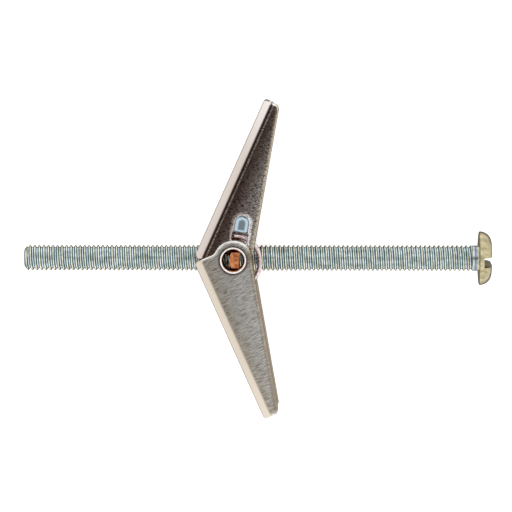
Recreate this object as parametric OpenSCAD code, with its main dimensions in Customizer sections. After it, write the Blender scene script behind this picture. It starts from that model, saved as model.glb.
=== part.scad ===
// Spring toggle bolt for hollow walls: a slotted machine screw, a stamped plate nut, two
// folding wings that turn on hollow eyelets, and the wire spring that opens the wings.
//
// Frame, in millimetres: the bolt lies along X. The origin is the centre of the face under
// its head, +X points out of the head and -X points to the free end of the thread. The wings
// open along +Y and -Y, and the hinge axis stands along Z.

/* [Bolt] */
// Thread diameter over the crests
bolt_d = 4; // [3:0.1:6]
// Length under the head
bolt_len = 70; // [60:1:120]
// Length of the bevel at the free end
tip_bevel = 0.5; // [0.2:0.1:0.8]

/* [Head] */
// Diameter of the head
head_d = 8.3; // [7.4:0.1:12]
// Height of the head
head_h = 2; // [1.6:0.1:3]
// Radius of the rounded rim
head_rim_r = 1.8; // [0.9:0.1:1.9]
// How far the middle of the head stands above its shoulder
head_crown = 0.18; // [0.05:0.01:0.4]
// Width of the driver slot
slot_w = 1.5; // [0.8:0.1:1.6]
// Depth of the driver slot
slot_depth = 1.35; // [0.8:0.05:1.5]
// Turn of the slot about the bolt from upright, degrees
slot_turn = 5; // [0:1:90]
// How far the slot sits off the middle of the head
slot_off = 0.15; // [0:0.05:0.3]

/* [Wings] */
// Sheet thickness
sheet_t = 0.9; // [0.7:0.05:1.2]
// Length from the hinge axis to the tip
wing_len = 24.3; // [20:0.1:35]
// Angle between the web and the free edges, degrees
wing_taper = 14; // [9:0.1:15]
// Lean of an open wing's web towards the head, degrees from square
wing_lean = 24; // [18:0.5:28]
// Outside radius of the bend between web and flange
bend_r = 1.2; // [1.2:0.05:1.6]
// Ring of metal round the hinge hole
ear_land = 1.28; // [1:0.01:1.8]
// Radius of the tip corner at the free edge
tip_round = 0.6; // [0.5:0.1:1.4]
// Hinge axis, measured back from the face under the head
hinge_back = 37.7; // [36:0.1:60]

/* [Spring pocket in the wing] */
// Width of the pressed pocket
pocket_w = 2.4; // [2.2:0.1:3.2]
// Length of the pocket, from its open end to the top of its arch
pocket_len = 2.8; // [2.2:0.05:4]
// Depth of the pocket
pocket_depth = 0.65; // [0.4:0.05:0.7]
// Metal between the pocket and the free edge
pocket_land = 1.32; // [1:0.01:1.6]

/* [Nut and eyelets] */
// Thickness of the nut plate, along the bolt
nut_t = 1.5; // [1.2:0.1:2]
// Metal above and below the threaded hole
nut_land = 0.9; // [0.7:0.1:1.4]
// Width of the lug that sits in each eyelet
lug_w = 2.4; // [2:0.1:2.6]
// Bore radius of an eyelet
eyelet_bore_r = 1.5; // [1.4:0.05:1.8]
// Wall of an eyelet's barrel
eyelet_wall = 0.22; // [0.2:0.01:0.35]
// How far an eyelet's rolled rim reaches over its barrel
eyelet_lip = 0.28; // [0.2:0.01:0.5]
// Height of the rolled rim
eyelet_rim_h = 0.42; // [0.3:0.01:0.6]

/* [Spring] */
// Wire diameter
wire_d = 0.77; // [0.6:0.01:1]
// How far each coil sits off the hinge axis, up or down
coil_drop = 0.39; // [0.3:0.01:0.6]

/* [Fits] */
// Play between the spring's wire and what is on either side of it
wire_play = 0.14; // [0.1:0.01:0.25]
// Gap between the ears of the two wings, and beside them
ear_play = 0.1; // [0.05:0.01:0.2]
// Play of the wings on the eyelets, and of the bolt in the nut, on the radius
turn_play = 0.05; // [0.02:0.01:0.1]
// Gap between the two webs where they stop the open wings
stop_gap = 0.12; // [0.05:0.01:0.3]
// Room round the bolt in the notch of each web
notch_play = 0.35; // [0.2:0.05:0.6]

/* [Hidden] */
$fn = 64;

shank_r = bolt_d / 2;
wire_r = wire_d / 2;
over = 1; // how far a cut runs past what it cuts
wire_fn = 24; // sides of the wire's round section
crown_fn = 256; // the crown is a small part of a large circle
rim_centre_up = 0.5; // the rim's rounding is centred this far above the face under the head

// Levels along the hinge axis: the gap that holds bolt and wire, then the inner and outer ear
inner_half = shank_r + 2 * wire_play + wire_d;
inner_top = inner_half + sheet_t;
outer_base = inner_top + ear_play;
outer_top = outer_base + sheet_t;
wire_z = shank_r + wire_play + wire_r;

// Nut and eyelets
nut_half = shank_r + nut_land;
seat_play = ear_play / 2;
collar_t = 0.3;
collar_top = inner_half - seat_play;
nut_half_z = collar_top - collar_t - seat_play;
barrel_r = eyelet_bore_r + eyelet_wall;
rim_base = outer_top + seat_play;
rim_top = rim_base + eyelet_rim_h;
lug_shift = 0.15; // the plate sits this much towards the head
lug_bulge_r = 2.2; // the side of a lug that faces the free end is rounded
lug_sunk = 0.25; // a lug ends this far inside the rolled rim
lug_top = rim_base - lug_sunk;
lug_play = 0.06;

// Spring coils clear the nut, and the webs stand clear of the coils over the whole fold
coil_shift = 0.12; // towards the head
coil_room = 0.125; // lets a coil draw tighter as the wings fold
coil_r = nut_half + coil_drop + wire_play + wire_r + coil_room;
web_play = 0.0351; // between a coil and the web that it comes closest to
fold = 71; // the wings fold this far towards the head
// A coil lies off the hinge axis, so it comes closest to the web when the wing is folded
coil_reach = coil_r + wire_r + max([for (a = [wing_lean : wing_lean + fold])
    coil_drop * sin(a) - coil_shift * cos(a)]);
web_in = coil_reach + web_play;
web_out = web_in + sheet_t;

// Side view of a wing, with its web upright and the hinge axis at the origin
hole_r = barrel_r + turn_play;
ear_r = hole_r + ear_land;
free_in = 0.2; // the free edge lies this far inside the ear's outline
free_off = ear_r - free_in;
heel = (web_in * sin(wing_lean) - stop_gap / 2) / cos(wing_lean);
notch_half = shank_r + notch_play;
notch_top = (notch_half - web_in * sin(wing_lean)) / cos(wing_lean);
nick_r = 0.35; // relief nick where the free edge runs into the ear
nick_x = ear_r + 0.225; // the nick bites this little into the ear
heel_round = 1; // hollow corner between ear and heel

// Spring pocket, in a frame whose upright axis runs along the free edge
pocket_x = free_off - pocket_land - pocket_w / 2;
pocket_play = 0.2; // between a coil and the open end of the pocket
pocket_lean = wing_lean - wing_taper;
pocket_start = coil_r + wire_r - coil_drop * cos(pocket_lean) + coil_shift * sin(pocket_lean)
    + pocket_play;
pocket_end = pocket_start + pocket_len;
pocket_r = pocket_depth + 0.1; // its floor is flat, and its sides are rounded
pocket_floor = pocket_w - 2 * sqrt(pow(pocket_r, 2) - pow(pocket_r - pocket_depth, 2));
pocket_wall = 0.8; // sheet thins a little where it is pressed
mouth_start = 0.6; // the opening below the pocket starts at this part of the ear's radius

leg_turn = 6; // a leg closes on the web by this angle
hook_len = 1.8; // bent end of each leg, across the web
bend_swell = 0.02; // a bend is this much thicker than the wire
leg_play = 0.03; // between a leg's end and the web
min_bend_in = 0.1; // smallest inside radius that the sheet is bent to

// Where the free edges of a wing are at height y
function free_x(y) = (free_off - y * sin(wing_taper)) / cos(wing_taper);

// Turns a shape made along Z so that it runs along X
module along_bolt() {
    rotate([0, 90, 0]) children();
}

// Slotted head: a flat face at the origin, a rounded rim and a low crown
module head() {
    crown_span = head_d / 2 - head_rim_r;
    crown_r = (pow(crown_span, 2) + pow(head_crown, 2)) / (2 * head_crown);
    rim_up = min(rim_centre_up, head_h - head_rim_r);
    difference() {
        along_bolt() rotate_extrude() intersection() {
            union() {
                square([crown_span, head_h]);
                translate([crown_span, rim_up]) circle(r = head_rim_r);
            }
            square([head_d, head_h]);
            translate([0, head_h - crown_r]) circle(r = crown_r, $fn = crown_fn);
        }
        rotate([slot_turn, 0, 0])
            translate([head_h - slot_depth, -slot_off - slot_w / 2, -head_d / 2 - over])
                cube([slot_depth + over, slot_w, head_d + 2 * over]);
    }
}

// Machine screw; its thread is left plain, at the diameter over the crests
module bolt() {
    color("silver") union() {
        head();
        translate([tip_bevel - bolt_len, 0, 0])
            along_bolt() cylinder(r = shank_r, h = bolt_len - tip_bevel);
        translate([-bolt_len, 0, 0])
            along_bolt() cylinder(r1 = shank_r - tip_bevel, r2 = shank_r, h = tip_bevel);
    }
}

// Stamped nut: a plate across the bolt with a lug at each end
module nut() {
    color("peru") translate([-hinge_back, 0, 0]) difference() {
        union() {
            translate([lug_shift - nut_t / 2, -nut_half, -nut_half_z])
                cube([nut_t, 2 * nut_half, 2 * nut_half_z]);
            translate([0, 0, -lug_top]) linear_extrude(2 * lug_top) lug_section();
        }
        translate([-nut_t - over, 0, 0])
            along_bolt() cylinder(r = shank_r + turn_play, h = 2 * (nut_t + over));
    }
}

// Section of a lug: flat towards the head, rounded towards the free end
module lug_section() {
    left = lug_shift - nut_t / 2;
    intersection() {
        translate([left, -lug_w / 2]) square([nut_t, lug_w]);
        translate([left + lug_bulge_r, 0]) circle(r = lug_bulge_r);
        circle(r = eyelet_bore_r - lug_play);
    }
}

// Hollow eyelet on the +Z side: barrel, thin collar inside, rolled rim outside
module eyelet() {
    rim_half = (eyelet_wall + eyelet_lip) / 2;
    color("gainsboro") rotate_extrude() {
        translate([eyelet_bore_r, collar_top - collar_t])
            square([eyelet_wall, rim_top - rim_half - collar_top + collar_t]);
        translate([eyelet_bore_r, collar_top - collar_t])
            square([eyelet_wall + 2 * eyelet_lip, collar_t]);
        translate([eyelet_bore_r, rim_base])
            square([2 * rim_half, rim_top - rim_half - rim_base]);
        intersection() {
            translate([eyelet_bore_r + rim_half, rim_top - rim_half]) circle(r = rim_half);
            translate([eyelet_bore_r, rim_base]) square([2 * rim_half, eyelet_rim_h]);
        }
    }
}

// Outline of a flange and its ear
module flange_outline() {
    dip = heel + heel_round;
    reach = sqrt(pow(ear_r + heel_round, 2) - pow(dip, 2));
    tip_x = free_x(wing_len);
    difference() {
        union() {
            circle(r = ear_r);
            polygon([
                [-web_out, -heel], [-web_out, wing_len - tip_round],
                [-web_out, wing_len], [tip_x - tip_round, wing_len],
                [free_x(wing_len - tip_round), wing_len - tip_round],
                [free_x(0), 0], [0, -heel]
            ]);
            // the hollow corner is filled square here, and rounded out below
            polygon([[-reach, -heel], [0, 0], [-reach * ear_r / (ear_r + heel_round),
                -dip * ear_r / (ear_r + heel_round)]]);
            intersection() {
                translate([tip_x - tip_round, wing_len - tip_round]) circle(r = tip_round);
                translate([-web_out, 0]) square([web_out + free_off, wing_len]);
            }
        }
        translate([-reach, -dip]) circle(r = heel_round);
        translate([nick_x, -nick_r]) circle(r = nick_r);
        circle(r = hole_r);
    }
}

// Section of the folded channel: x as in the side view, y is the hinge direction
module channel_section() {
    difference() {
        bent_corner(web_out, -outer_top, inner_top, bend_r);
        bent_corner(web_in, -outer_base, inner_half, max(bend_r - sheet_t, min_bend_in));
    }
}

// A block open towards +x, with its two corners at x = -back rounded
module bent_corner(back, low, high, r) {
    deep = back + ear_r + over;
    translate([r - back, low]) square([deep - r, high - low]);
    translate([-back, low + r]) square([r, high - low - 2 * r]);
    for (edge = [low + r, high - r]) translate([r - back, edge]) circle(r = r);
}

// Section of the pocket: two circles of radius r and what lies between them
module pocket_section(r) {
    translate([-pocket_floor / 2, -r]) square([pocket_floor, 2 * r]);
    for (side = [-1, 1]) translate([side * pocket_floor / 2, 0]) circle(r = r);
}

// Solid that lies along the spring pocket and ends in a round arch
module pocket_form(r) {
    arch = pocket_end - pocket_w / 2;
    reach = pocket_w + 2 * r;
    rotate([0, 0, wing_taper]) translate([pocket_x, 0, inner_top + pocket_r - pocket_depth]) {
        translate([0, arch, 0]) rotate([90, 0, 0])
            linear_extrude(arch - pocket_start) pocket_section(r);
        intersection() {
            translate([0, arch, 0]) rotate_extrude() intersection() {
                pocket_section(r);
                translate([0, -r]) square([reach, 2 * r]);
            }
            translate([-reach, arch, -reach]) cube(2 * reach);
        }
    }
}

// Opening between the ear and the pocket, where the coil shows
module pocket_mouth() {
    difference() {
        rotate([0, 0, wing_taper])
            translate([pocket_x - pocket_w / 2, ear_r * mouth_start, inner_half - over])
                cube([pocket_w, pocket_start - ear_r * mouth_start, sheet_t + 2 * over]);
        cylinder(r = ear_r, h = inner_top + 2 * over);
    }
}

// One wing, web upright, hinge axis on Z, its inner ear on the +Z side
module wing_blank() {
    difference() {
        union() {
            intersection() {
                translate([0, 0, -outer_top - over])
                    linear_extrude(outer_top + inner_top + 2 * over) flange_outline();
                translate([0, wing_len + over, 0]) rotate([90, 0, 0])
                    linear_extrude(wing_len + 2 * ear_r) channel_section();
            }
            intersection() {
                pocket_form(pocket_r + pocket_wall);
                translate([-web_in, 0, 0]) cube([2 * web_in, wing_len, inner_half + sheet_t / 2]);
            }
        }
        pocket_form(pocket_r);
        pocket_mouth();
        translate([-web_out - over, -heel - over, -notch_half])
            cube([sheet_t + over + bend_r, heel + over + notch_top, 2 * notch_half]);
    }
}

// The wing that opens towards +Y
module wing_a() {
    color("lightgray") translate([-hinge_back, 0, 0]) rotate([0, 0, -wing_lean]) wing_blank();
}

// The same stamping, turned over, opens towards -Y
module wing_b() {
    color("darkgray") rotate([180, 0, 0]) translate([-hinge_back, 0, 0])
        rotate([0, 0, -wing_lean]) wing_blank();
}

// Part of a coil about an axis at [coil_shift, drop], from angle a0 through a sweep
module coil(drop, z, a0, sweep) {
    translate([coil_shift, drop, z]) rotate([0, 0, a0])
        rotate_extrude(angle = sweep) translate([coil_r, 0]) circle(r = wire_r, $fn = wire_fn);
}

// Straight wire between two points, with a ball a little wider than the wire at each bend
module wire(p, q) {
    d = q - p;
    flat = norm([d[0], d[1]]);
    for (bend = [p, q]) translate(bend) sphere(r = wire_r + bend_swell, $fn = wire_fn);
    translate(p) rotate([0, atan2(flat, d[2]), atan2(d[1], d[0])])
        cylinder(r = wire_r, h = norm(d), $fn = wire_fn);
}

// Leg for the wing above: it leaves the coil at its side and closes on the web
module leg(z) {
    a = 180 - wing_lean + leg_turn;
    start = [coil_shift + coil_r * cos(a), coil_r * sin(a) - coil_drop, z];
    out = [sin(a), -cos(a), 0];
    inset = start[0] * cos(wing_lean) - start[1] * sin(wing_lean);
    run = (inset + web_in - wire_r - leg_play) / sin(leg_turn);
    end = start + run * out;
    wire(start, end);
    wire(end, end - [0, 0, hook_len]);
}

// One length of wire: a leg for wing_a, most of a coil, a bar over the bolt, then the
// rest of the turn on the other side and a leg for wing_b
module spring() {
    leave = 180 - wing_lean + leg_turn;
    color("rosybrown") translate([-hinge_back, 0, 0]) {
        leg(wire_z);
        coil(-coil_drop, wire_z, leave, 450 - leave);
        wire([coil_shift, coil_r - coil_drop, wire_z], [coil_shift, coil_r + coil_drop, -wire_z]);
        coil(coil_drop, -wire_z, 90, 270 - leave);
        rotate([180, 0, 0]) leg(wire_z);
    }
}

bolt();
nut();
translate([-hinge_back, 0, 0]) eyelet();  // eyelet_upper
translate([-hinge_back, 0, 0]) rotate([180, 0, 0]) eyelet();  // eyelet_lower
wing_a();
wing_b();
spring();
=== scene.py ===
# %% [markdown]
# # Spring toggle bolt
#
# A spring toggle holds a fixture on a hollow wall. A long machine screw carries a nut, and
# two sheet-metal wings hang on the nut. They fold towards the head to pass through a hole,
# and a wire spring opens them again behind the wall.
#
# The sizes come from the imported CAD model, which is loaded first and never changed. The
# bolt lies along X with the face under its head at the origin, the wings open along Y, and
# the hinge axis stands along Z.

# %% Load the fixed frame
import math

import bpy
from mathutils import Matrix, Vector


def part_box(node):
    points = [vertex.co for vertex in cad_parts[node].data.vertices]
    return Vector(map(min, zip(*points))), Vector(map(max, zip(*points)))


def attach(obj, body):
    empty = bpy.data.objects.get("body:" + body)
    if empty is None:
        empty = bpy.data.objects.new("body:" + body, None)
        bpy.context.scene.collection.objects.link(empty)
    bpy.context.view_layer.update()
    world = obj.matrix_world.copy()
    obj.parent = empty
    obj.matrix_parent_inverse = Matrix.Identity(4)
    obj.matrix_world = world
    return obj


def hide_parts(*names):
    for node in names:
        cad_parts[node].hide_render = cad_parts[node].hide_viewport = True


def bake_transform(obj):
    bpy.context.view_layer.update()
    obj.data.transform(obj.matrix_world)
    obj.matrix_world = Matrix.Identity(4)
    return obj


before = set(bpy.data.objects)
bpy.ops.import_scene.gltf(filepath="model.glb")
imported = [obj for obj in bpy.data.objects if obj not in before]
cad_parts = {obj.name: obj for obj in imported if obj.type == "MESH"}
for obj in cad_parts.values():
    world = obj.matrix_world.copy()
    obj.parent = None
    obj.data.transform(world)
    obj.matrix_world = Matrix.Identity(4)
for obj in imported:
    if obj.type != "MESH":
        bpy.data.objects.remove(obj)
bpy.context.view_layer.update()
MM = 0.001
print("nodes:", ", ".join(sorted(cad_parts)))

# %% [markdown]
# The screw's box gives its length and its head, and an eyelet's box gives the hinge axis
# and, turned over, the lowest point of the part. Sizes that no box holds are written out
# here. Those of the wings, from WEB_OUT on, are plain millimetres.

# %% Sizes from the frame
screw_low, screw_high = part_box("bolt")
eyelet_low, eyelet_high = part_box("eyelet_upper")

SCREW_LENGTH = -screw_low.x
HEAD_HEIGHT = screw_high.x
HEAD_RADIUS = screw_high.z
CREST_RADIUS = 2.0 * MM
PITCH = 0.7 * MM
WING_LEAN = math.radians(24)
FREE_EDGE_LEAN = math.radians(10)
WEB_OUT = 5.66
BEND = 1.2
INNER_FLANGE_TOP = 3.95
POCKET_X = 0.33
POCKET_WIDTH = 2.4
POCKET_LENGTH = 2.8
POCKET_MIDDLE = 5.56
POCKET_DEPTH = 0.65
POCKET_FLOOR = INNER_FLANGE_TOP - POCKET_DEPTH
FREE_OFF = 2.85
HINGE_X = (eyelet_low.x + eyelet_high.x) / 2
FLOOR_Z = -eyelet_high.z
print("hinge axis at x =", round(HINGE_X / MM, 2), "mm; floor at z =", round(FLOOR_Z / MM, 2), "mm")


# %% [markdown]
# In Blender an operator works on whatever is selected. These helpers select one piece,
# apply a modifier or a Boolean to it, and write its place, turn and size into its mesh, so
# that every finished object sits at the origin, unturned and unscaled.

# %% Modelling helpers
def only(piece):
    """Selects one piece and nothing else, in object mode."""
    if bpy.context.object and bpy.context.object.mode != "OBJECT":
        bpy.ops.object.mode_set(mode="OBJECT")
    bpy.ops.object.select_all(action="DESELECT")
    piece.select_set(True)
    bpy.context.view_layer.objects.active = piece
    return piece


def settle(piece):
    """Writes a piece's place, turn and size into its mesh."""
    only(piece)
    bpy.ops.object.transform_apply(location=True, rotation=True, scale=True)
    return piece


def named(name):
    """The object that an operator has just made, under its own name and at the origin."""
    piece = bpy.context.object
    piece.name = name
    piece.data.name = name
    return settle(piece)


def edit(piece, mode="VERT"):
    """Opens a piece in edit mode with nothing selected."""
    only(piece)
    bpy.ops.object.mode_set(mode="EDIT")
    bpy.ops.mesh.select_mode(type=mode)
    bpy.ops.mesh.select_all(action="DESELECT")


def done():
    bpy.ops.object.mode_set(mode="OBJECT")


def apply(piece, kind, **settings):
    """Adds one modifier and applies it."""
    only(piece)
    modifier = piece.modifiers.new(kind.lower(), kind)
    for key, value in settings.items():
        setattr(modifier, key, value)
    bpy.ops.object.modifier_apply(modifier=modifier.name)
    return piece


def combine(piece, other, operation):
    """Boolean of two closed pieces. The other piece is used up."""
    apply(piece, "BOOLEAN", object=other, operation=operation, solver="EXACT")
    bpy.data.objects.remove(other)
    return piece


def tidy_normals(piece):
    """Merges doubles and points every face outwards."""
    edit(piece)
    bpy.ops.mesh.select_all(action="SELECT")
    bpy.ops.mesh.remove_doubles(threshold=0.0005 * MM)
    bpy.ops.mesh.normals_make_consistent(inside=False)
    done()
    return piece


def smooth(piece, degrees=35):
    only(piece)
    bpy.ops.object.shade_smooth_by_angle(angle=math.radians(degrees))
    return piece


def copy_of(node, name):
    """A merged copy of a CAD node's mesh, as a new piece."""
    piece = bpy.data.objects.new(name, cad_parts[node].data.copy())
    piece.data.name = name
    piece.data.materials.clear()
    bpy.context.scene.collection.objects.link(piece)
    edit(piece)
    bpy.ops.mesh.select_all(action="SELECT")
    bpy.ops.mesh.remove_doubles(threshold=0.001 * MM)
    done()
    return piece


def size_of(piece):
    return len(piece.data.polygons), [round(x / MM, 2) for x in piece.dimensions]


def open_edges(piece):
    """How many edges don't have exactly two faces. A closed solid has none."""
    edit(piece)
    bpy.ops.mesh.select_non_manifold(extend=False)
    done()
    return sum(e.select for e in piece.data.edges)


# %% [markdown]
# A turned part starts as one vertex that is extruded along half of its outline. The Screw
# modifier then turns the outline about the X axis. With a rise for each turn, the same
# modifier makes a thread.

# %% Drawing and turning an outline
def draw_outline(name, points):
    """A chain of edges through (x, radius) points in the upper half of the XY plane."""
    bpy.ops.mesh.primitive_plane_add(size=MM)
    piece = bpy.context.object
    piece.name = name
    bpy.ops.object.mode_set(mode="EDIT")
    bpy.ops.mesh.merge(type="CENTER")
    bpy.ops.transform.translate(value=(points[0][0], points[0][1], 0))
    for (x0, r0), (x1, r1) in zip(points, points[1:]):
        step = {"value": (x1 - x0, r1 - r0, 0)}
        bpy.ops.mesh.extrude_region_move(TRANSFORM_OT_translate=step)
    done()
    return settle(piece)


def turned(name, points, steps=96):
    """A closed turned solid. The outline starts and ends on the X axis."""
    piece = draw_outline(name, points)
    apply(piece, "SCREW", axis="X", steps=steps, render_steps=steps)
    return tidy_normals(piece)


def arc(centre, radius, start, end, count):
    """Points on an arc in the (x, radius) plane, angles in degrees from +x towards +r."""
    angles = [math.radians(start + (end - start) * i / count) for i in range(count + 1)]
    return [(centre[0] + radius * math.cos(a), centre[1] + radius * math.sin(a)) for a in angles]


# %% [markdown]
# ## Camera, floor and light
#
# The bolt lies on white paper and the camera looks down on it, from a little towards the
# +Y side and the head.

# %% Camera
VIEW_WIDTH = 78.94 * MM
VIEW_CENTRE = Vector((-34.3 * MM, 0.28 * MM, 0))
CAMERA_DISTANCE = 420 * MM
TILT_TO_WING_A = math.radians(4.8)
TILT_TO_HEAD = math.radians(1.0)

bpy.ops.object.select_all(action="DESELECT")
bpy.ops.object.camera_add()
camera = bpy.context.object
towards = Vector((math.sin(TILT_TO_HEAD), math.sin(TILT_TO_WING_A), 1)).normalized()
side = Vector((0, 1, 0)).cross(towards).normalized()
axes = Matrix((side, towards.cross(side), towards)).transposed()
camera.matrix_world = Matrix.Translation(VIEW_CENTRE + CAMERA_DISTANCE * towards) @ axes.to_4x4()
camera.data.sensor_width = 36
camera.data.lens = camera.data.sensor_width * CAMERA_DISTANCE / VIEW_WIDTH
camera.data.clip_start = 0.01
camera.data.clip_end = 10
bpy.context.scene.camera = camera
print("lens:", round(camera.data.lens, 1), "mm")


# %% [markdown]
# Node trees read best when a node, its settings and its links are written in one place, so
# one small function does all three. Colours are given as sRGB hex values, the way a paint
# chart gives them, and turned to the linear values that the renderer works with.

# %% Node helpers
def colour(hex_value):
    """sRGB hex, such as "#C8C4BC", to linear red, green, blue and alpha."""
    parts = [int(hex_value[i:i + 2], 16) / 255 for i in (1, 3, 5)]
    linear = [p / 12.92 if p <= 0.04045 else ((p + 0.055) / 1.055) ** 2.4 for p in parts]
    return (*linear, 1)


def add_node(tree, kind, inputs=(), stops=(), **settings):
    """Adds a node. An input is a value, or an output socket to link from. stops fill a ramp."""
    node = tree.nodes.new(kind)
    for key, value in settings.items():
        setattr(node, key, value)
    for key, value in dict(inputs).items():
        if isinstance(value, bpy.types.NodeSocket):
            tree.links.new(value, node.inputs[key])
        else:
            node.inputs[key].default_value = value
    for place, hex_value in stops[2:]:
        node.color_ramp.elements.new(place)
    for element, (place, hex_value) in zip(node.color_ramp.elements if stops else (), stops):
        element.position = place
        element.color = colour(hex_value)
    return node


# %% [markdown]
# Bright metal shows its surroundings more than its own colour. A small product in a white
# tent sees white on all sides, one dark patch, which is the opening that the camera looks
# through, and the grey table below. Flat faces turned up mirror the opening and go darker,
# rounded edges mirror the white, and each silhouette gets a thin line. The world is that
# tent: white all round, with one soft dark opening above and a grey floor below. The floor
# object stays out of reflections, so that the metal sees that grey. The films on the metal,
# further on, add colour of their own, and in places their ramps also paint highlights,
# reflections and shade into the colour.

# %% Tent
world = bpy.data.worlds.new("white_tent")
bpy.context.scene.world = world
world.use_nodes = True
tree = world.node_tree
tree.nodes.clear()
direction = add_node(tree, "ShaderNodeTexCoord").outputs["Generated"]
OPENING = Vector((0.0, 0.03, 1)).normalized()
upness = add_node(tree, "ShaderNodeVectorMath", {0: direction, 1: OPENING}, operation="DOT_PRODUCT")
angle = add_node(tree, "ShaderNodeMath", {0: upness.outputs["Value"]}, operation="ARCCOSINE")
share = add_node(tree, "ShaderNodeMath", {0: angle.outputs[0], 1: math.pi}, operation="DIVIDE")
rings = add_node(tree, "ShaderNodeValToRGB", {"Fac": share.outputs[0]}, stops=[
    (0.0, "#2E2623"), (0.03, "#4A403B"), (0.085, "#F6F4F2"), (0.12, "#FFFFFF"),
    (0.68, "#FFFFFF"), (0.80, "#8A8680"), (1.0, "#6E6A64")])
light = add_node(tree, "ShaderNodeBackground", {"Color": rings.outputs["Color"], "Strength": 1.3})
add_node(tree, "ShaderNodeOutputWorld", {"Surface": light.outputs["Background"]})

# %% [markdown]
# The part lies on white paper, level with the rim of the lower eyelet. The paper is
# staged, so it is not a piece of the part.

# %% Floor
bpy.ops.object.select_all(action="DESELECT")
bpy.ops.mesh.primitive_plane_add(size=4, location=(VIEW_CENTRE.x, 0, FLOOR_Z))
floor = named("floor")
floor.visible_glossy = False
paper = bpy.data.materials.new("white_paper")
paper.use_nodes = True
surface = paper.node_tree.nodes["Principled BSDF"]
surface.inputs["Base Color"].default_value = colour("#F6F6F6")
surface.inputs["Roughness"].default_value = 0.9
surface.inputs["Emission Color"].default_value = colour("#FFFFFF")
surface.inputs["Emission Strength"].default_value = 0.5
floor.data.materials.append(paper)
bpy.context.scene.view_settings.view_transform = "Standard"


# %% [markdown]
# ## Finishes
#
# Every piece is plated steel, so all finishes are metals and differ in colour, roughness
# and texture. Coordinates are turned to millimetres first, which lets each pattern's scale
# be read as so many features in a millimetre. A Mapping node of type Texture does that, and
# can also put the zero on the hinge and turn the pattern with a wing.

# %% Metal finish
def metal(name, roughness, place=(0, 0, 0), turn=(0, 0, 0)):
    """A metal material, its tree, its shader and its coordinates in millimetres."""
    material = bpy.data.materials.new(name)
    material.use_nodes = True
    tree = material.node_tree
    shader = tree.nodes["Principled BSDF"]
    shader.inputs["Metallic"].default_value = 1.0
    shader.inputs["Roughness"].default_value = roughness
    coordinates = add_node(tree, "ShaderNodeTexCoord").outputs["Object"]
    in_mm = add_node(tree, "ShaderNodeMapping", {
        "Vector": coordinates, "Location": place, "Rotation": turn, "Scale": (MM, MM, MM)},
        vector_type="TEXTURE")
    return material, tree, shader, in_mm.outputs["Vector"]


def grain(tree, vector, stretch, scale, detail=4.0):
    """Noise drawn out along an axis: a small number in stretch makes long streaks on it."""
    drawn = add_node(tree, "ShaderNodeVectorMath", {0: vector, 1: stretch}, operation="MULTIPLY")
    noise = add_node(tree, "ShaderNodeTexNoise", {
        "Vector": drawn.outputs[0], "Scale": scale, "Detail": detail, "Roughness": 0.6})
    return noise.outputs["Fac"]


def add_relief(tree, shader, height, depth):
    """Bump of so many millimetres."""
    bump = add_node(
        tree, "ShaderNodeBump", {"Height": height, "Strength": 1.0, "Distance": depth * MM})
    tree.links.new(bump.outputs["Normal"], shader.inputs["Normal"])


def simple_metal(name, tint, shade, roughness, relief=0.01, scale=2.5):
    """Plated metal with a cloudy tone and a fine grain."""
    material, tree, shader, vector = metal(name, roughness)
    clouds = grain(tree, vector, (1, 1, 1), scale)
    tone = add_node(tree, "ShaderNodeValToRGB", {"Fac": clouds}, stops=[(0.35, shade), (0.65, tint)])
    tree.links.new(tone.outputs["Color"], shader.inputs["Base Color"])
    add_relief(tree, shader, grain(tree, vector, (1, 1, 1), 6.0), relief)
    return material


def finish(piece, material, body, slot, *nodes):
    """Gives a piece its material and its body, and hides the CAD nodes it stands for. slot is not
    used.
    """
    piece.data.materials.clear()
    piece.data.materials.append(material)
    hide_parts(*nodes)
    if body:
        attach(piece, body)
    print(piece.name, *size_of(piece), "open edges:", open_edges(piece))


# %% [markdown]
# ## The screw
#
# A machine screw's thread is rolled: the blank is squeezed between dies, so crests and
# roots are rounded. One turn of the profile is drawn as a line and wound about the axis by
# the Screw modifier. The wound thread is longer than the shank. Two bisects cut it flat and
# close it, and a turned envelope bevels the free end.

# %% Thread
THREAD_DEPTH = 0.34 * MM
ROOT_RADIUS = CREST_RADIUS - THREAD_DEPTH
NECK_START = -1.1 * MM
THREAD_STEPS = 36
THREAD_PHASE = 2.26
SPARE_TURNS = 4
ENVELOPE_RADIUS = 2.05 * MM
POINT_RADIUS = 0.5 * MM
POINT_LENGTH = 0.55 * MM
half_profile = [(0.0, 0.0), (0.08, 0.03), (0.17, 0.20), (0.27, 0.52), (0.37, 0.85), (0.44, 0.97)]
profile = half_profile + [(0.5, 1.0)] + [(1 - a, h) for a, h in reversed(half_profile)]
start_x = -SCREW_LENGTH - THREAD_PHASE * PITCH
points = [(start_x + a * PITCH, ROOT_RADIUS + h * THREAD_DEPTH) for a, h in profile]
screw = draw_outline("screw", points)
apply(screw, "SCREW", axis="X", steps=THREAD_STEPS, render_steps=THREAD_STEPS, screw_offset=PITCH,
      iterations=int(SCREW_LENGTH / PITCH) + SPARE_TURNS)
edit(screw)
bpy.ops.mesh.select_all(action="SELECT")
bpy.ops.mesh.remove_doubles(threshold=0.002 * MM)
for x, below in ((-SCREW_LENGTH, True), (NECK_START, False)):
    bpy.ops.mesh.select_all(action="SELECT")
    bpy.ops.mesh.bisect(plane_co=(x, 0, 0), plane_no=(1, 0, 0), use_fill=True,
                        threshold=0.0001 * MM, clear_inner=below, clear_outer=not below)
bpy.ops.mesh.select_all(action="SELECT")
bpy.ops.mesh.normals_make_consistent(inside=False)
done()
print("thread:", size_of(screw), "open edges:", open_edges(screw))
envelope = turned("envelope", [
    (-SCREW_LENGTH - PITCH, 0), (-SCREW_LENGTH - PITCH, POINT_RADIUS),
    (-SCREW_LENGTH + POINT_LENGTH, ENVELOPE_RADIUS), (0, ENVELOPE_RADIUS), (0, 0)])
combine(screw, envelope, "INTERSECT")

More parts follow.
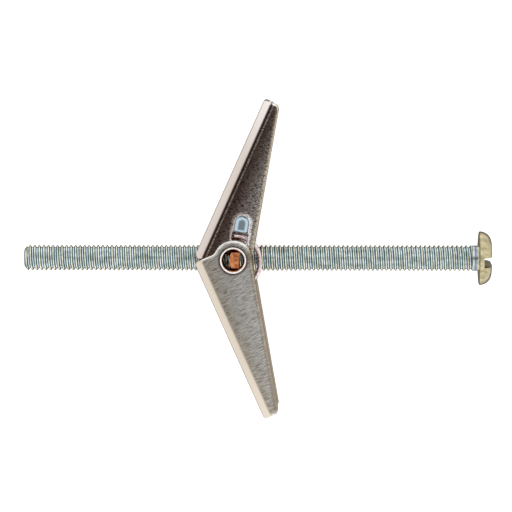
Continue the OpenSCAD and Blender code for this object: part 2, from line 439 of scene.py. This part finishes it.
# %% [markdown]
# The head is cold-formed with the neck in one blow: a flat bearing face, a rounded rim and
# a low crown. It is turned from one outline. The slot is sawn afterwards, so a thin block
# is cut out of the head, and a small bevel takes off the saw's sharp edges.

# %% Head
NECK_RADIUS = 1.95 * MM
RIM_RADIUS = 1.8 * MM
RIM_CENTRE = (0.14 * MM, HEAD_RADIUS - RIM_RADIUS)
UNDER_ROUND = 0.06 * MM
outline = [
    (NECK_START - 0.15 * MM, 0), (NECK_START - 0.15 * MM, ROOT_RADIUS),
    (NECK_START + 0.1 * MM, NECK_RADIUS)]
outline += arc((-0.2 * MM, NECK_RADIUS + 0.2 * MM), 0.2 * MM, -90, 0, 5)
outline += [(0, HEAD_RADIUS - 2 * UNDER_ROUND)]
outline += [(UNDER_ROUND, HEAD_RADIUS - UNDER_ROUND / 2)]
rim = arc(RIM_CENTRE, RIM_RADIUS, 90, 12, 16)
outline += rim
crown = HEAD_HEIGHT - rim[-1][0]
outline += [
    (rim[-1][0] + crown * (1 - (1 - t) ** 2), rim[-1][1] * (1 - t))
    for t in (0.2, 0.4, 0.6, 0.8, 1.0)]
head = turned("head", outline)
SLOT_WIDTH = 1.5 * MM
SLOT_DEPTH = 1.35 * MM
SLOT_OFF = 0.15 * MM
SLOT_TURN = math.radians(5)
bpy.ops.mesh.primitive_cube_add(size=1, location=(HEAD_HEIGHT, 0, 0))
blade = bpy.context.object
blade.scale = (2 * SLOT_DEPTH, SLOT_WIDTH, 3 * HEAD_RADIUS)
blade.location.y = -SLOT_OFF
settle(blade)
blade.rotation_euler.x = SLOT_TURN
settle(blade)
combine(head, blade, "DIFFERENCE")
edit(head)
bpy.ops.mesh.select_all(action="SELECT")
bpy.ops.mesh.remove_doubles(threshold=0.01 * MM)
done()
apply(head, "BEVEL", width=0.09 * MM, segments=3, limit_method="ANGLE",
      angle_limit=math.radians(38))
print("head:", size_of(head), "open edges:", open_edges(head))
combine(screw, head, "UNION")
tidy_normals(screw)
smooth(screw, 40)

# %% [markdown]
# The screw is zinc plated and passivated, a clear film that shows thin blue, green and
# straw tints. On the thread a ramp paints a creamy white line on the crests, a pale
# lavender line at the roots and a darker teal on the flanks. These are partly the film's
# tints and partly painted light: the light lines are painted highlights and the teal is
# painted shade. They follow the thread, so they are a ramp over the place within one turn:
# x in turns, minus the angle about the axis. The head took more of the straw tint, with a
# blue-grey band on the neck.

# %% Screw finish
screw_zinc, tree, shader, vector = metal("passivated_zinc_screw", 0.2)
axes = add_node(tree, "ShaderNodeSeparateXYZ", {"Vector": vector}).outputs
around = add_node(tree, "ShaderNodeMath", {0: axes["Z"], 1: axes["Y"]}, operation="ARCTAN2")
turns = add_node(tree, "ShaderNodeMath", {0: around.outputs[0], 1: math.tau}, operation="DIVIDE")
from_start = add_node(tree, "ShaderNodeMath", {0: axes["X"], 1: start_x / MM}, operation="SUBTRACT")
pitches = add_node(
    tree, "ShaderNodeMath", {0: from_start.outputs[0], 1: PITCH / MM}, operation="DIVIDE")
wound = add_node(
    tree, "ShaderNodeMath", {0: pitches.outputs[0], 1: turns.outputs[0]}, operation="SUBTRACT")
phase = add_node(tree, "ShaderNodeMath", {0: wound.outputs[0]}, operation="FRACT")
# Light lines on crest and root and teal on the flanks: partly film tints, partly painted highlights
# and painted shade.
film_and_painted_light = add_node(tree, "ShaderNodeValToRGB", {"Fac": phase.outputs[0]}, stops=[
    (0.0, "#EAF0FF"), (0.09, "#E4EAFA"), (0.17, "#7F9B9E"), (0.35, "#7F9B9E"), (0.46, "#C8CFC8"),
    (0.53, "#FFF6E0"), (0.64, "#FFF2D8"), (0.74, "#93A6A0"), (0.88, "#7F9B9E"), (0.95, "#EAF0FF")])
straw = add_node(tree, "ShaderNodeMapRange", {
    "Value": axes["X"], "From Min": NECK_START / MM - 0.1, "From Max": HEAD_HEIGHT / MM})
film_at_head = add_node(tree, "ShaderNodeValToRGB", {"Fac": straw.outputs[0]}, stops=[
    (0.0, "#B9B79A"), (0.10, "#D9DCE4"), (0.19, "#6C7B8C"), (0.27, "#A9B4C4"),
    (0.34, "#CDBF9C"), (1.0, "#B3A684")])
at_head = add_node(
    tree, "ShaderNodeMath", {0: axes["X"], 1: NECK_START / MM}, operation="GREATER_THAN")
tint = add_node(tree, "ShaderNodeMix", {
    "Factor": at_head.outputs[0], "A": film_and_painted_light.outputs["Color"], "B": film_at_head.outputs["Color"]},
    data_type="RGBA")
clouds = add_node(tree, "ShaderNodeValToRGB", {"Fac": grain(tree, vector, (0.6, 1, 1), 1.3)}, stops=[
    (0.35, "#C4CCC6"), (0.62, "#FFFFFF")])
tinted = add_node(tree, "ShaderNodeMix", {
    "Factor": 1.0, "A": tint.outputs["Result"], "B": clouds.outputs["Color"]},
    data_type="RGBA", blend_type="MULTIPLY")
tree.links.new(tinted.outputs["Result"], shader.inputs["Base Color"])
add_relief(tree, shader, grain(tree, vector, (1, 1, 1), 3.0), 0.012)
finish(screw, screw_zinc, "screw", "plated_screw", "bolt")


# %% [markdown]
# ## The wings
#
# Each wing is a strip of sheet steel, pierced, folded to a channel and tumbled in a drum,
# so all its cut edges are round. The CAD node has the right outline but sharp edges. A
# merged copy gets wide bevels, a voxel remesh turns the overlapping bevels into one skin,
# and a few smoothing passes leave soft edges on flat faces. Bevels that meet at the pocket
# can bulge past the sheet, so what lies outside the CAD node is drawn back onto it.

# %% Wing sheets
EDGE_BEVEL = 0.38 * MM
SKIN_STEP = 0.09 * MM


def rounded_sheet(node):
    sheet = copy_of(node, node + "_sheet")
    edit(sheet)
    bpy.ops.mesh.select_all(action="SELECT")
    bpy.ops.mesh.dissolve_limited(angle_limit=math.radians(1))
    done()
    apply(sheet, "BEVEL", width=EDGE_BEVEL, segments=3, limit_method="ANGLE",
          angle_limit=math.radians(50), use_clamp_overlap=False)
    print(node, "bevelled:", size_of(sheet))
    apply(sheet, "REMESH", mode="VOXEL", voxel_size=SKIN_STEP)
    apply(sheet, "SMOOTH", factor=0.5, iterations=5)
    apply(sheet, "SHRINKWRAP", target=bpy.data.objects[node],
          wrap_method="NEAREST_SURFACEPOINT", wrap_mode="INSIDE")
    apply(sheet, "DECIMATE", ratio=0.4)
    only(sheet)
    bpy.ops.object.shade_smooth()
    return sheet


# %% [markdown]
# The sheet was zinc plated after pressing, and its colour is laid in ramps that are partly
# an uneven film and partly painted light. On the bend next to the fold it is painted light,
# a painted reflection of the bend, and on wing_a a dark line and a bright line just past it
# are painted reflections of the bend too. Then it is brownish and clears to grey towards the
# free edge, partly film and partly painted shade, and near the free edge a light band and a
# dark line on the edge are a painted highlight and painted shade. Tumbling left short
# scratches and wore the film off the rounded edges, which are painted near white: partly
# bare zinc and partly a painted highlight. A painted shade lies in a ring round the eyelet,
# and the pressed pocket has a grey-blue tint, partly a smooth film and partly a painted
# reflection. The ramps read distances in the wing's own frame, so one function serves both
# wings. The two ramps are FOLD_RAMP and EDGE_RAMP millimetres long, and the painted shade
# round the eyelet lies between two radii. A face keeps its film or takes the near white of
# a bare edge by how squarely it looks along the hinge axis.

# %% Wing finish
# Pocket tint: partly a film, partly a painted reflection.
POCKET_FILM_AND_REFLECTION = colour("#A6B8C4")
# Near white of the rounded edges: partly bare zinc, partly a painted highlight.
BARE_ZINC_AND_HIGHLIGHT = (1, 0.98, 0.97, 1)
FOLD_RAMP = 10
EDGE_RAMP = 4
FLAT_KEEPS_FILM = 0.92
ROUND_IS_BARE_AND_HIGHLIT = 0.78
# Radii of a painted shade in a ring round the eyelet.
RING_SHADE_INNER = 1.7
RING_SHADE_OUTER = 3.7


def wing_zinc(
        name, turn, fold_film_and_painted_light, edge_film_and_painted_light, scratch_film, roughness, scratch_stretch, scratch_depth):
    material, tree, shader, vector = metal(name, roughness, (HINGE_X, 0, 0), turn)
    axes = add_node(tree, "ShaderNodeSeparateXYZ", {"Vector": vector}).outputs
    # Fold ramp: a painted reflection of the bend, then brown to grey, partly film and partly painted
    # shade.
    from_fold = add_node(tree, "ShaderNodeMapRange", {
        "Value": axes["X"], "From Min": -WEB_OUT, "From Max": FOLD_RAMP - WEB_OUT})
    film_and_painted_light = add_node(tree, "ShaderNodeValToRGB", {"Fac": from_fold.outputs[0]}, stops=fold_film_and_painted_light)
    taper = WING_LEAN - FREE_EDGE_LEAN
    slant = (math.cos(taper), math.sin(taper), 0)
    reach = add_node(tree, "ShaderNodeVectorMath", {0: vector, 1: slant}, operation="DOT_PRODUCT")
    # Edge ramp: a painted highlight band and a painted shade line at the free edge.
    from_edge = add_node(tree, "ShaderNodeMapRange", {
        "Value": reach.outputs["Value"], "From Min": FREE_OFF - EDGE_RAMP, "From Max": FREE_OFF})
    edge = add_node(tree, "ShaderNodeValToRGB", {"Fac": from_edge.outputs[0]}, stops=edge_film_and_painted_light)
    facing = add_node(tree, "ShaderNodeSeparateXYZ", {
        "Vector": add_node(tree, "ShaderNodeTexCoord").outputs["Normal"]})
    flat = add_node(tree, "ShaderNodeMath", {0: facing.outputs["Z"]}, operation="ABSOLUTE")
    wear = add_node(tree, "ShaderNodeMapRange", {
        "Value": flat.outputs[0], "From Min": FLAT_KEEPS_FILM, "From Max": ROUND_IS_BARE_AND_HIGHLIT})
    off_fold = add_node(tree, "ShaderNodeMapRange", {
        "Value": axes["X"], "From Min": BEND - WEB_OUT, "From Max": BEND - WEB_OUT + 0.3})
    edge_wear_and_highlight = add_node(
        tree, "ShaderNodeMath", {0: wear.outputs[0], 1: off_fold.outputs[0]}, operation="MULTIPLY")
    # Rounded edges take the near white: partly bare zinc, partly a painted highlight.
    bare_and_highlit_edges = add_node(tree, "ShaderNodeMix", {
        "Factor": edge_wear_and_highlight.outputs[0], "A": film_and_painted_light.outputs["Color"], "B": BARE_ZINC_AND_HIGHLIGHT},
        data_type="RGBA")
    film_and_edge = add_node(tree, "ShaderNodeMix", {
        "Factor": 1.0, "A": bare_and_highlit_edges.outputs["Result"], "B": edge.outputs["Color"]},
        data_type="RGBA", blend_type="MULTIPLY")
    scratches = grain(tree, vector, scratch_stretch, 3.0, 6.0)
    marks = add_node(tree, "ShaderNodeValToRGB", {"Fac": scratches}, stops=[
        (0.42, scratch_film), (0.54, "#FFFFFF")])
    on_flat = add_node(tree, "ShaderNodeMath", {0: 1.0, 1: wear.outputs[0]}, operation="SUBTRACT")
    mark_share = add_node(
        tree, "ShaderNodeMath", {0: off_fold.outputs[0], 1: on_flat.outputs[0]},
        operation="MULTIPLY")
    marked = add_node(tree, "ShaderNodeMix", {
        "Factor": mark_share.outputs[0],
        "A": film_and_edge.outputs["Result"], "B": marks.outputs["Color"]},
        data_type="RGBA", blend_type="MULTIPLY")
    # Painted shade in a ring round the eyelet, where the wing meets it.
    from_hinge = add_node(
        tree, "ShaderNodeVectorMath", {0: vector, 1: (1, 1, 0)}, operation="MULTIPLY")
    radius = add_node(tree, "ShaderNodeVectorMath", {0: from_hinge.outputs[0]}, operation="LENGTH")
    ring_shade_reach = add_node(tree, "ShaderNodeMapRange", {
        "Value": radius.outputs["Value"], "From Min": RING_SHADE_INNER, "From Max": RING_SHADE_OUTER})
    painted_ring_shade = add_node(tree, "ShaderNodeValToRGB", {"Fac": ring_shade_reach.outputs[0]}, stops=[
        (0.0, "#2A2420"), (0.16, "#3A322C"), (0.26, "#A8A09A"), (0.38, "#FFFFFF")])
    marked = add_node(tree, "ShaderNodeMix", {
        "Factor": 1.0, "A": marked.outputs["Result"], "B": painted_ring_shade.outputs["Color"]},
        data_type="RGBA", blend_type="MULTIPLY")
    along = add_node(tree, "ShaderNodeVectorMath", {
        0: vector, 1: (-math.sin(taper), math.cos(taper), 0)}, operation="DOT_PRODUCT")
    sideways = add_node(
        tree, "ShaderNodeMath", {0: reach.outputs["Value"], 1: POCKET_X}, operation="SUBTRACT")
    off_line = add_node(tree, "ShaderNodeMath", {0: sideways.outputs[0]}, operation="ABSOLUTE")
    lengthways = add_node(
        tree, "ShaderNodeMath", {0: along.outputs["Value"], 1: POCKET_MIDDLE}, operation="SUBTRACT")
    off_middle = add_node(tree, "ShaderNodeMath", {0: lengthways.outputs[0]}, operation="ABSOLUTE")
    across_pocket = add_node(tree, "ShaderNodeMapRange", {
        "Value": off_line.outputs[0],
        "From Min": POCKET_WIDTH / 2 - 0.05, "From Max": POCKET_WIDTH / 2 - 0.2})
    along_pocket = add_node(tree, "ShaderNodeMapRange", {
        "Value": off_middle.outputs[0],
        "From Min": POCKET_LENGTH / 2, "From Max": POCKET_LENGTH / 2 - 0.15})
    in_pocket = add_node(
        tree, "ShaderNodeMath", {0: across_pocket.outputs[0], 1: along_pocket.outputs[0]},
        operation="MULTIPLY")
    off_floor = add_node(
        tree, "ShaderNodeMath", {0: axes["Z"], 1: POCKET_FLOOR}, operation="SUBTRACT")
    off_pressing = add_node(tree, "ShaderNodeMath", {0: off_floor.outputs[0]}, operation="ABSOLUTE")
    below_face = add_node(tree, "ShaderNodeMapRange", {
        "Value": off_pressing.outputs[0],
        "From Min": POCKET_DEPTH * 0.6, "From Max": POCKET_DEPTH * 0.45})
    pressed = add_node(
        tree, "ShaderNodeMath", {0: in_pocket.outputs[0], 1: below_face.outputs[0]},
        operation="MULTIPLY")
    # Pocket tint, partly a film and partly a painted reflection.
    tinted = add_node(tree, "ShaderNodeMix", {
        "Factor": pressed.outputs[0], "A": marked.outputs["Result"], "B": POCKET_FILM_AND_REFLECTION},
        data_type="RGBA")
    tree.links.new(tinted.outputs["Result"], shader.inputs["Base Color"])
    out_of_pocket = add_node(
        tree, "ShaderNodeMath", {0: 1.0, 1: pressed.outputs[0]}, operation="SUBTRACT")
    dents = add_node(
        tree, "ShaderNodeMath", {0: scratches, 1: out_of_pocket.outputs[0]}, operation="MULTIPLY")
    add_relief(tree, shader, dents.outputs[0], scratch_depth)
    return material


# wing_a's ramps are darker and browner than wing_b's: partly film, partly painted shade.
wing_a_zinc = wing_zinc("zinc_sheet_brown_film_and_painted_light", (0, 0, -WING_LEAN), [
    (0.0, "#FFFCFA"), (0.112, "#F4EEEC"), (0.125, "#5C4C45"), (0.150, "#6A5A52"), (0.160, "#EDE6E0"),
    (0.172, "#EDE6E0"), (0.185, "#7A6860"), (0.30, "#A0948E"), (0.45, "#D0CCC8"), (1.0, "#E8E6E4")], [
    (0.0, "#C9C2BC"), (0.70, "#E6E4E2"), (0.82, "#FFFFFF"), (0.95, "#C8BCA8"), (1.0, "#8E7E68")],
    "#645852", 0.2, (0.7, 3.6, 1.0), 0.007)
wing_b_zinc = wing_zinc("zinc_sheet_scratched", (math.pi, 0, WING_LEAN), [
    (0.0, "#E8DDD0"), (0.112, "#E2D6C8"), (0.13, "#CFC9BE"), (0.30, "#DADAD8"), (0.5, "#E2E3E3"),
    (1.0, "#E6E6E4")], [
    (0.0, "#E2E1DE"), (0.80, "#F0F0EE"), (0.93, "#B8AC9C"), (1.0, "#6E5E4C")],
    "#B0AAA2", 0.24, (0.28, 4.4, 1.0), 0.005)
for node, body, material in (
        ("wing_a", "left_wing", wing_a_zinc), ("wing_b", "right_wing", wing_b_zinc)):
    finish(rounded_sheet(node), material, body, "plated_wing", node)

# %% [markdown]
# ## The eyelets
#
# An eyelet is a short tube. One end is a thin collar, and the other is rolled outwards over
# the ears, which leaves a bright lip and a slope that runs down into the bore. Each one is
# turned from one closed outline.

# %% Eyelets
BORE = 1.5 * MM
lip = arc((5.32 * MM, 1.90 * MM), 0.10 * MM, 180, -30, 12)
eyelet_outline = [
    (2.70 * MM, BORE), (2.70 * MM, 2.24 * MM), (2.76 * MM, 2.28 * MM), (2.94 * MM, 2.28 * MM),
    (3.00 * MM, 2.24 * MM), (3.00 * MM, 1.76 * MM), (3.05 * MM, 1.72 * MM), (4.95 * MM, 1.72 * MM),
    (5.00 * MM, 1.76 * MM), (5.02 * MM, 1.92 * MM), (5.14 * MM, 2.00 * MM)]
eyelet_outline += lip + [
    (5.2 * MM, 1.72 * MM), (4.95 * MM, 1.6 * MM), (4.6 * MM, BORE), (2.70 * MM, BORE)]
eyelet_zinc = simple_metal("rolled_zinc_eyelet", "#FAF8F6", "#D8D4D0", 0.14)
for node, flip in (("eyelet_upper", 0), ("eyelet_lower", math.pi)):
    eyelet = turned(node + "_tube", eyelet_outline, 72)
    eyelet.rotation_euler.y = -math.pi / 2
    settle(eyelet)
    eyelet.rotation_euler.x = flip
    settle(eyelet)
    eyelet.location.x = HINGE_X
    settle(eyelet)
    smooth(eyelet, 40)
    finish(eyelet, eyelet_zinc, "carrier", "plated_eyelet", node)

# %% [markdown]
# ## The nut
#
# The nut is a stamped plate with a copper flash. Its lugs reach into the eyelets, where
# their ends show. A stamping has rounded edges, which catch the light, so a merged copy of
# the CAD node gets a bevel. Worn copper is satin, not polished. Down in the bore the copper
# is painted nearly black, a painted shade, and it is pale at the end of a lug.

# %% Nut
LUG_FOOT = 2.4
LUG_END = 4.8
nut = copy_of("nut", "nut_plate")
edit(nut)
bpy.ops.mesh.select_all(action="SELECT")
bpy.ops.mesh.dissolve_limited(angle_limit=math.radians(1))
done()
apply(nut, "BEVEL", width=0.2 * MM, segments=3, limit_method="ANGLE", angle_limit=math.radians(40))
smooth(nut, 40)
copper, tree, shader, vector = metal("copper_flash", 0.4)
level = add_node(tree, "ShaderNodeSeparateXYZ", {"Vector": vector}).outputs["Z"]
height = add_node(tree, "ShaderNodeMath", {0: level}, operation="ABSOLUTE")
depth = add_node(tree, "ShaderNodeMapRange", {
    "Value": height.outputs[0], "From Min": LUG_FOOT, "From Max": LUG_END})
# Nearly black down in the bore: painted shade.
flash_and_bore_shade = add_node(tree, "ShaderNodeValToRGB", {"Fac": depth.outputs[0]}, stops=[
    (0.0, "#C9743E"), (0.08, "#2E1409"), (0.70, "#3A1608"), (0.86, "#A35F38"), (1.0, "#CC8A60")])
wear = add_node(tree, "ShaderNodeValToRGB", {"Fac": grain(tree, vector, (1, 1, 1), 2.2)}, stops=[
    (0.38, "#B89C8E"), (0.62, "#FFFFFF")])
worn = add_node(tree, "ShaderNodeMix", {
    "Factor": 1.0, "A": flash_and_bore_shade.outputs["Color"], "B": wear.outputs["Color"]},
    data_type="RGBA", blend_type="MULTIPLY")
tree.links.new(worn.outputs["Result"], shader.inputs["Base Color"])
add_relief(tree, shader, grain(tree, vector, (1, 1, 1), 3.0), 0.03)
finish(nut, copper, "carrier", "coppered_nut", "nut")

# %% [markdown]
# ## The spring
#
# One length of spring wire opens both wings. From a short bar over the bolt it runs round
# the nut on both sides, and ends in a leg with a hook inside each wing. A wire is a line
# with a thickness: its centre line is drawn as a chain of edges with rounded corners, turned
# into a curve with a round bevel, and then back into a mesh.
#
# When a wing folds, its leg goes with it and the coil winds up. The wire is therefore two
# pieces that meet in the middle of the bar, one for each wing.

# %% Spring
WIRE_RADIUS = 0.385
COIL_RADIUS = 3.94
COIL_SHIFT = 0.12
COIL_DROP = 0.39
COIL_Z = 2.525
LEG_LEAVES = 162
LEG_RUN = 6.64
HOOK = 1.8
COIL_STEP = 6
CORNER_STEPS = 6


def rounded_corners(line, radius):
    """Puts a short curve in place of each sharp corner of a line of points."""
    smooth_line = [line[0]]
    for before, corner, after in zip(line, line[1:], line[2:]):
        way_in = corner - before
        way_out = after - corner
        if way_in.angle(way_out) < math.radians(15):
            smooth_line.append(corner)
            continue
        cut = min(radius, 0.45 * way_in.length, 0.45 * way_out.length)
        start = corner - cut * way_in.normalized()
        end = corner + cut * way_out.normalized()
        for i in range(CORNER_STEPS + 1):
            t = i / CORNER_STEPS
            smooth_line.append((1 - t) ** 2 * start + 2 * t * (1 - t) * corner + t ** 2 * end)
    return smooth_line + [line[-1]]


def wire(name, line):
    """A round wire along a line of points, in millimetres from the hinge."""
    bpy.ops.object.select_all(action="DESELECT")
    bpy.ops.mesh.primitive_plane_add(size=MM)
    piece = bpy.context.object
    bpy.ops.object.mode_set(mode="EDIT")
    bpy.ops.mesh.merge(type="CENTER")
    bpy.ops.transform.translate(value=line[0] * MM)
    for before, after in zip(line, line[1:]):
        bpy.ops.mesh.extrude_region_move(TRANSFORM_OT_translate={"value": (after - before) * MM})
    done()
    bpy.ops.object.convert(target="CURVE")
    piece = bpy.context.object
    piece.data.bevel_depth = WIRE_RADIUS * MM
    piece.data.bevel_resolution = 5
    piece.data.use_fill_caps = True
    bpy.ops.object.convert(target="MESH")
    piece = bpy.context.object
    piece.location.x = HINGE_X
    piece.name = name
    piece.data.name = name
    settle(piece)
    return tidy_normals(piece)


def coil_point(drop, z, degrees):
    turn = math.radians(degrees)
    x = COIL_SHIFT + COIL_RADIUS * math.cos(turn)
    return Vector((x, drop + COIL_RADIUS * math.sin(turn), z))


def leg_points(base, side, z):
    """A leg from the coil up the wing, and its hook. side is +1 for wing_a and -1 for wing_b."""
    turn = math.radians(LEG_LEAVES)
    top = base + LEG_RUN * Vector((math.sin(turn), -side * math.cos(turn), 0))
    return [top, top - Vector((0, 0, math.copysign(HOOK, z)))]


wire_zinc = simple_metal("plated_spring_wire", "#E6D8DA", "#B49C9C", 0.2)
bar_middle = (coil_point(-COIL_DROP, COIL_Z, 90) + coil_point(COIL_DROP, -COIL_Z, 90)) / 2
halves = [
    ("spring_half_a", 1, COIL_Z, -COIL_DROP,
     [450 - COIL_STEP * i for i in range(48)] + [LEG_LEAVES], "left_wing"),
    ("spring_half_b", -1, -COIL_Z, COIL_DROP,
     [90 + COIL_STEP * i for i in range(18)] + [360 - LEG_LEAVES], "right_wing")]
for name, side, z, drop, turns, wing_body in halves:
    coil = [coil_point(drop, z, degrees) for degrees in turns]
    line = rounded_corners([bar_middle] + coil + leg_points(coil[-1], side, z), 0.7)
    half = wire(name, line)
    smooth(half, 60)
    finish(half, wire_zinc, None, "spring_wire", "spring")
    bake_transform(half)
